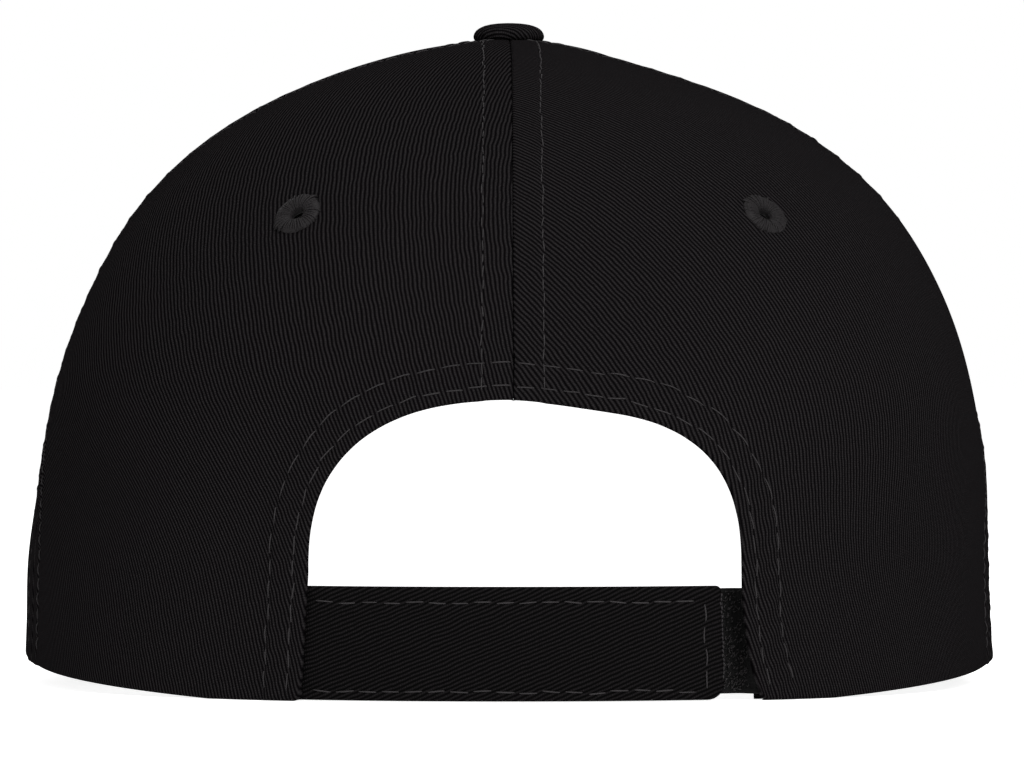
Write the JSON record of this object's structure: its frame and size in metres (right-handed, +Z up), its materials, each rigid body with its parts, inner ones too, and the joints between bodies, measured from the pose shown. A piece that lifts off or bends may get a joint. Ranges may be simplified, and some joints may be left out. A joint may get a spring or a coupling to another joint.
{
  "type": "baseball cap",
  "caption": "Structured baseball cap of sewn twill panels with a covered button, curved visor, rounded back opening and a hook-and-loop size strap.",
  "frame": {"origin": "centre of the head opening, level with the lower edge of the back rim", "axes": "+Z up towards the button, +Y towards the back opening, -Y along the visor, +X to the wearer's left"},
  "size_m": [0.1792, 0.2696, 0.1213],
  "materials": {
    "crown_twill": "black cotton twill, woven, with fused backing",
    "lining_tape": "black woven seam tape",
    "sweatband_cloth": "black cotton twill facing",
    "sweatband_padding": "black non-woven padding",
    "buckram": "stiff resin-sized open weave",
    "visor_board": "moulded polyethylene board",
    "button_steel": "pressed steel, dull",
    "eyelet_thread": "black rayon embroidery thread",
    "hook_tape": "black nylon hook tape",
    "loop_pile": "black brushed nylon loop pile"
  },
  "bodies": {
    "crown": {"front_panel_left": "crown_twill", "side_panel_left": "crown_twill", "back_panel_left": "crown_twill", "front_buckram_left": "buckram", "back_seam_tape_left": "lining_tape", "front_seam_tape_left": "lining_tape", "eyelet_front_left": "eyelet_thread", "eyelet_side_left": "eyelet_thread", "eyelet_back_left": "eyelet_thread", "front_panel_right": "crown_twill", "side_panel_right": "crown_twill", "back_panel_right": "crown_twill", "front_buckram_right": "buckram", "back_seam_tape_right": "lining_tape", "front_seam_tape_right": "lining_tape", "eyelet_front_right": "eyelet_thread", "eyelet_side_right": "eyelet_thread", "eyelet_back_right": "eyelet_thread", "centre_back_seam_tape": "lining_tape", "centre_front_seam_tape": "lining_tape", "arch_facing": "lining_tape", "sweatband": "sweatband_cloth", "sweatband_padding": "sweatband_padding", "visor_board": "visor_board", "visor_top_cover": "crown_twill", "visor_bottom_cover": "crown_twill", "button_cover": "crown_twill", "button_shell": "button_steel", "button_prong": "button_steel", "button_washer": "button_steel", "strap_root": "crown_twill", "loop_tab_root": "crown_twill"},
    "strap": {"closure_strap": "crown_twill", "hook_tape": "hook_tape"},
    "tab": {"loop_tab": "crown_twill", "loop_tape": "loop_pile"}
  },
  "joints": [
    {"name": "strap_peel", "type": "hinge", "parent": "crown", "child": "strap", "pos_m": [0.0366, 0.092, 0.0098], "axis": [0, 0, 1], "range_deg": [-140, 0]},
    {"name": "tab_fold", "type": "hinge", "parent": "crown", "child": "tab", "pos_m": [-0.0366, 0.0849, 0.0098], "axis": [0, 0, 1], "range_deg": [-60, 0]}
  ]
}
